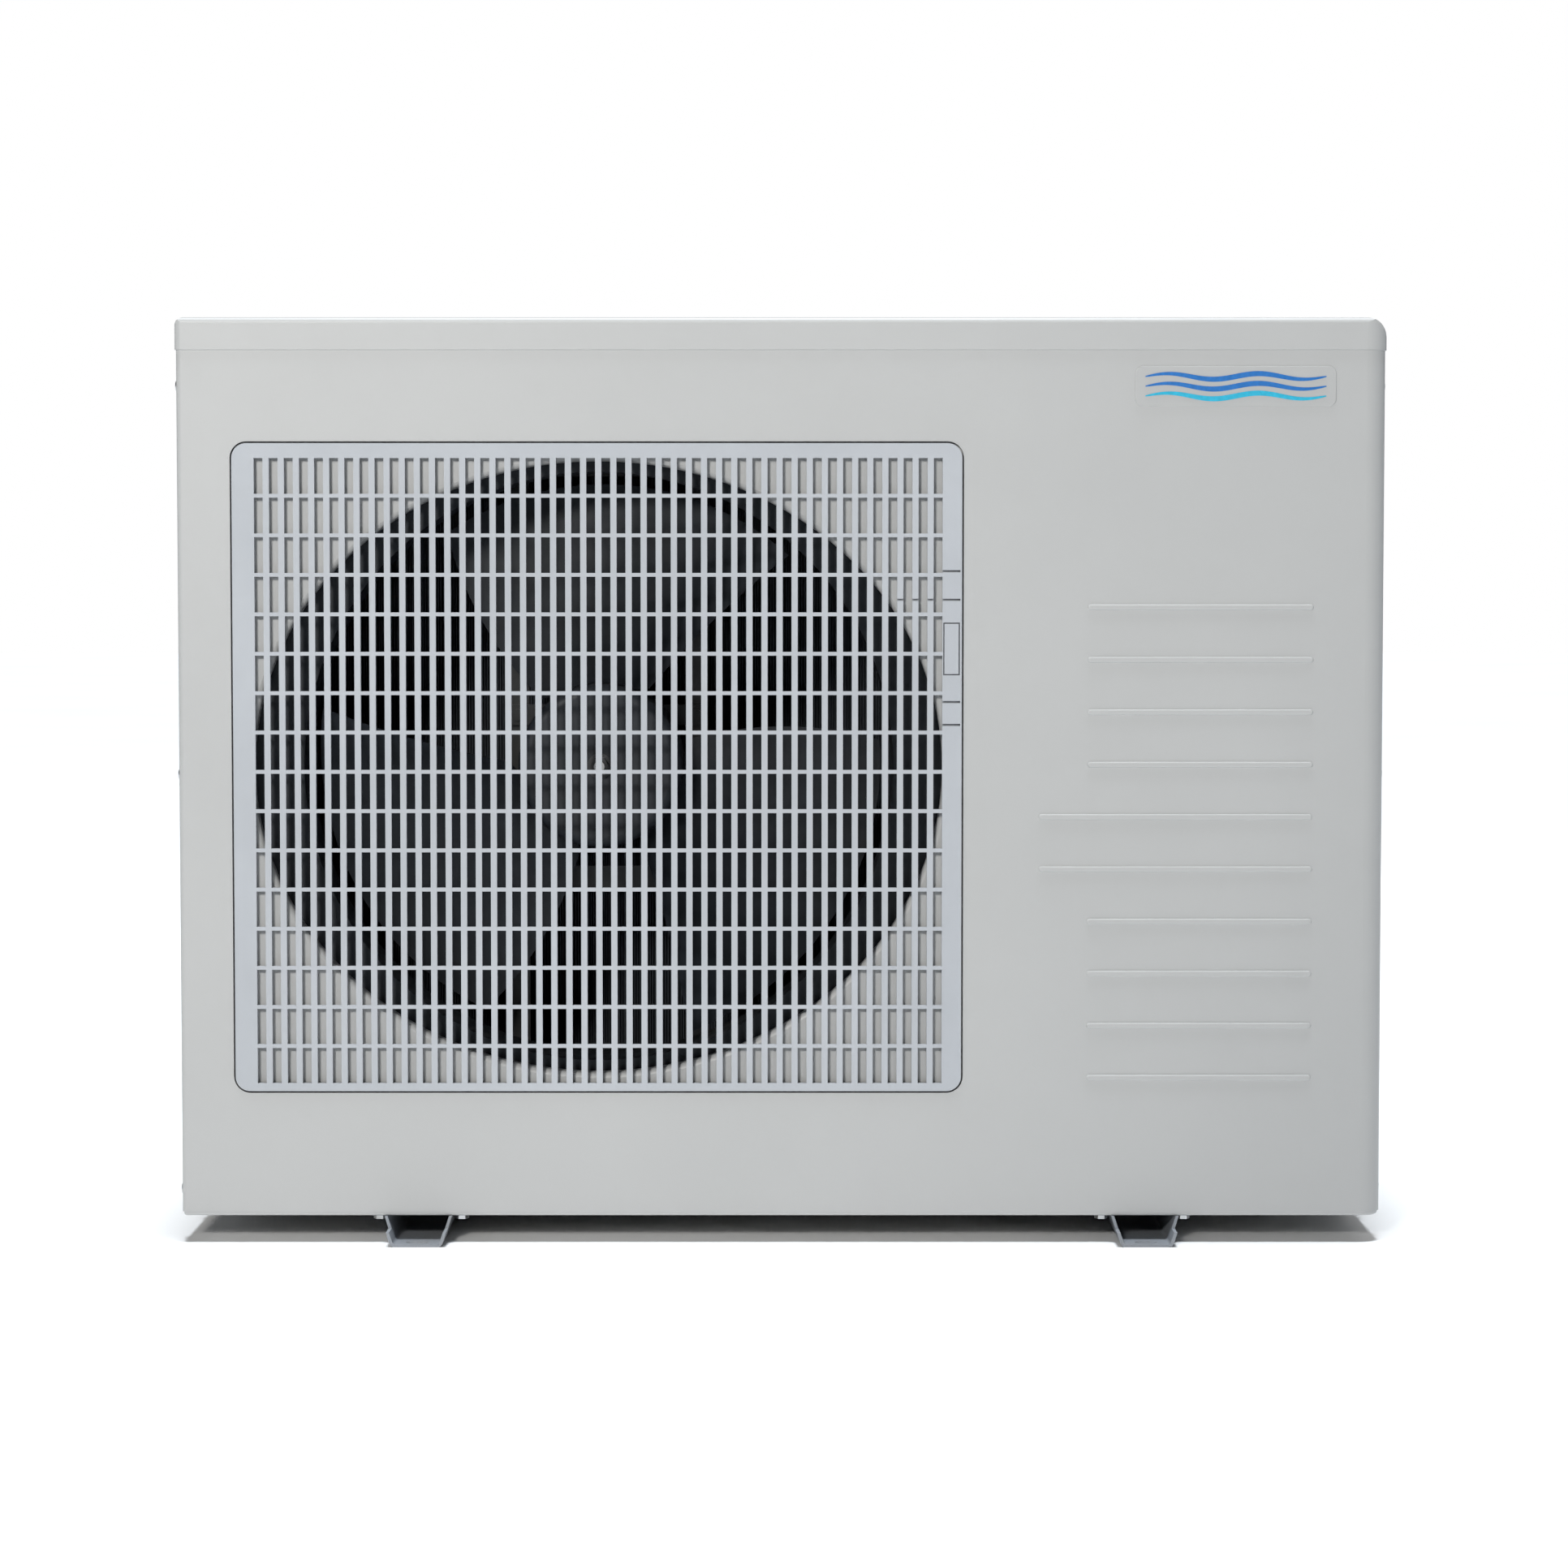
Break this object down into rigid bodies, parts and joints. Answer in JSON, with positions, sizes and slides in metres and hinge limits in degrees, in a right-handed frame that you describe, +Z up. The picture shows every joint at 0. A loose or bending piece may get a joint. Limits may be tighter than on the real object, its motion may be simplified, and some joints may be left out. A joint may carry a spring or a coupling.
{
  "type": "heat pump unit",
  "caption": "Outdoor pool heat pump in a side-discharge sheet cabinet, with a fan behind a square slotted grille, embossed ribs, rail feet and rear water unions",
  "frame": {"origin": "on the floor, at the centre of the four anchor slots of the foot rails, midway between the cabinet's ends and between its front and back", "axes": "+X right seen from the front, +Y from the front panel to the back, +Z up"},
  "size_m": [0.9102, 0.423, 0.69],
  "materials": {
    "cabinet_paint": "pale grey powder coat, satin",
    "foot_paint": "grey powder coat on galvanised channel",
    "grille_plastic": "light grey moulded plastic with fine texture",
    "guard_plastic": "grey moulded mesh",
    "badge_plate": "thin plate with plain wave lines, no lettering",
    "black_plastic": "black moulded plastic",
    "motor_paint": "black enamel",
    "galvanised": "galvanised sheet with faint spangle",
    "fins": "thin aluminium fins, hydrophilic coating",
    "copper": "drawn copper tube, slightly tarnished",
    "brass": "turned brass",
    "compressor_paint": "black baked enamel",
    "rubber": "black rubber",
    "vessel_plastic": "dark grey moulded vessel",
    "union_plastic": "dark grey pressure-pipe plastic",
    "titanium": "plain titanium tube",
    "zinc": "zinc plated steel fasteners",
    "board_green": "coated circuit board",
    "electric_plastic": "moulded electrical housings"
  },
  "bodies": {
    "root": {"base_pan": "cabinet_paint", "front_panel": "cabinet_paint", "left_side_panel": "cabinet_paint", "right_side_panel": "cabinet_paint", "rear_panel": "cabinet_paint", "top_cover": "cabinet_paint", "foot_rail_left": "foot_paint", "foot_rail_right": "foot_paint", "fan_grille": "grille_plastic", "grille_latch": "grille_plastic", "service_cover": "grille_plastic", "lifting_cup_left": "grille_plastic", "lifting_cup_right": "grille_plastic", "rear_guard": "guard_plastic", "badge": "badge_plate", "fan_shroud": "black_plastic", "cable_glands": "black_plastic", "gland_locknuts": "black_plastic", "terminal_cap": "black_plastic", "drain_nozzle": "black_plastic", "fan_motor": "motor_paint", "motor_bracket": "motor_paint", "motor_screws": "motor_paint", "rear_beam": "galvanised", "coil_end_plates": "galvanised", "divider": "galvanised", "control_box": "galvanised", "control_box_lid": "galvanised", "evaporator_fins": "fins", "return_bends": "copper", "discharge_pipe": "copper", "suction_pipe": "copper", "exchanger_gas_pipe": "copper", "coil_gas_pipe": "copper", "liquid_pipes": "copper", "filter_drier": "copper", "four_way_valve": "brass", "expansion_valve": "brass", "compressor": "compressor_paint", "accumulator": "compressor_paint", "compressor_grommets": "rubber", "union_seals": "rubber", "exchanger_shell": "vessel_plastic", "exchanger_lid": "vessel_plastic", "inlet_tail": "union_plastic", "outlet_tail": "union_plastic", "union_sockets": "union_plastic", "titanium_coil": "titanium", "foot_bolts": "zinc", "cabinet_screws": "zinc", "compressor_bolts": "zinc", "circuit_board": "board_green", "electrical_parts": "electric_plastic"},
    "fan": {"fan_blade": "black_plastic", "fan_nut": "motor_paint", "motor_shaft": "zinc"},
    "inlet_union_nut": {"inlet_nut": "union_plastic"},
    "outlet_union_nut": {"outlet_nut": "union_plastic"}
  },
  "joints": [
    {"name": "fan_spin", "type": "hinge", "parent": "root", "child": "fan", "pos_m": [-0.137, 0, 0.3555], "axis": [0, 1, 0], "continuous": true},
    {"name": "inlet_nut_turn", "type": "hinge", "parent": "root", "child": "inlet_union_nut", "pos_m": [0.365, 0.19, 0.1], "axis": [0, 1, 0], "continuous": true},
    {"name": "outlet_nut_turn", "type": "hinge", "parent": "root", "child": "outlet_union_nut", "pos_m": [0.365, 0.19, 0.28], "axis": [0, 1, 0], "continuous": true}
  ]
}
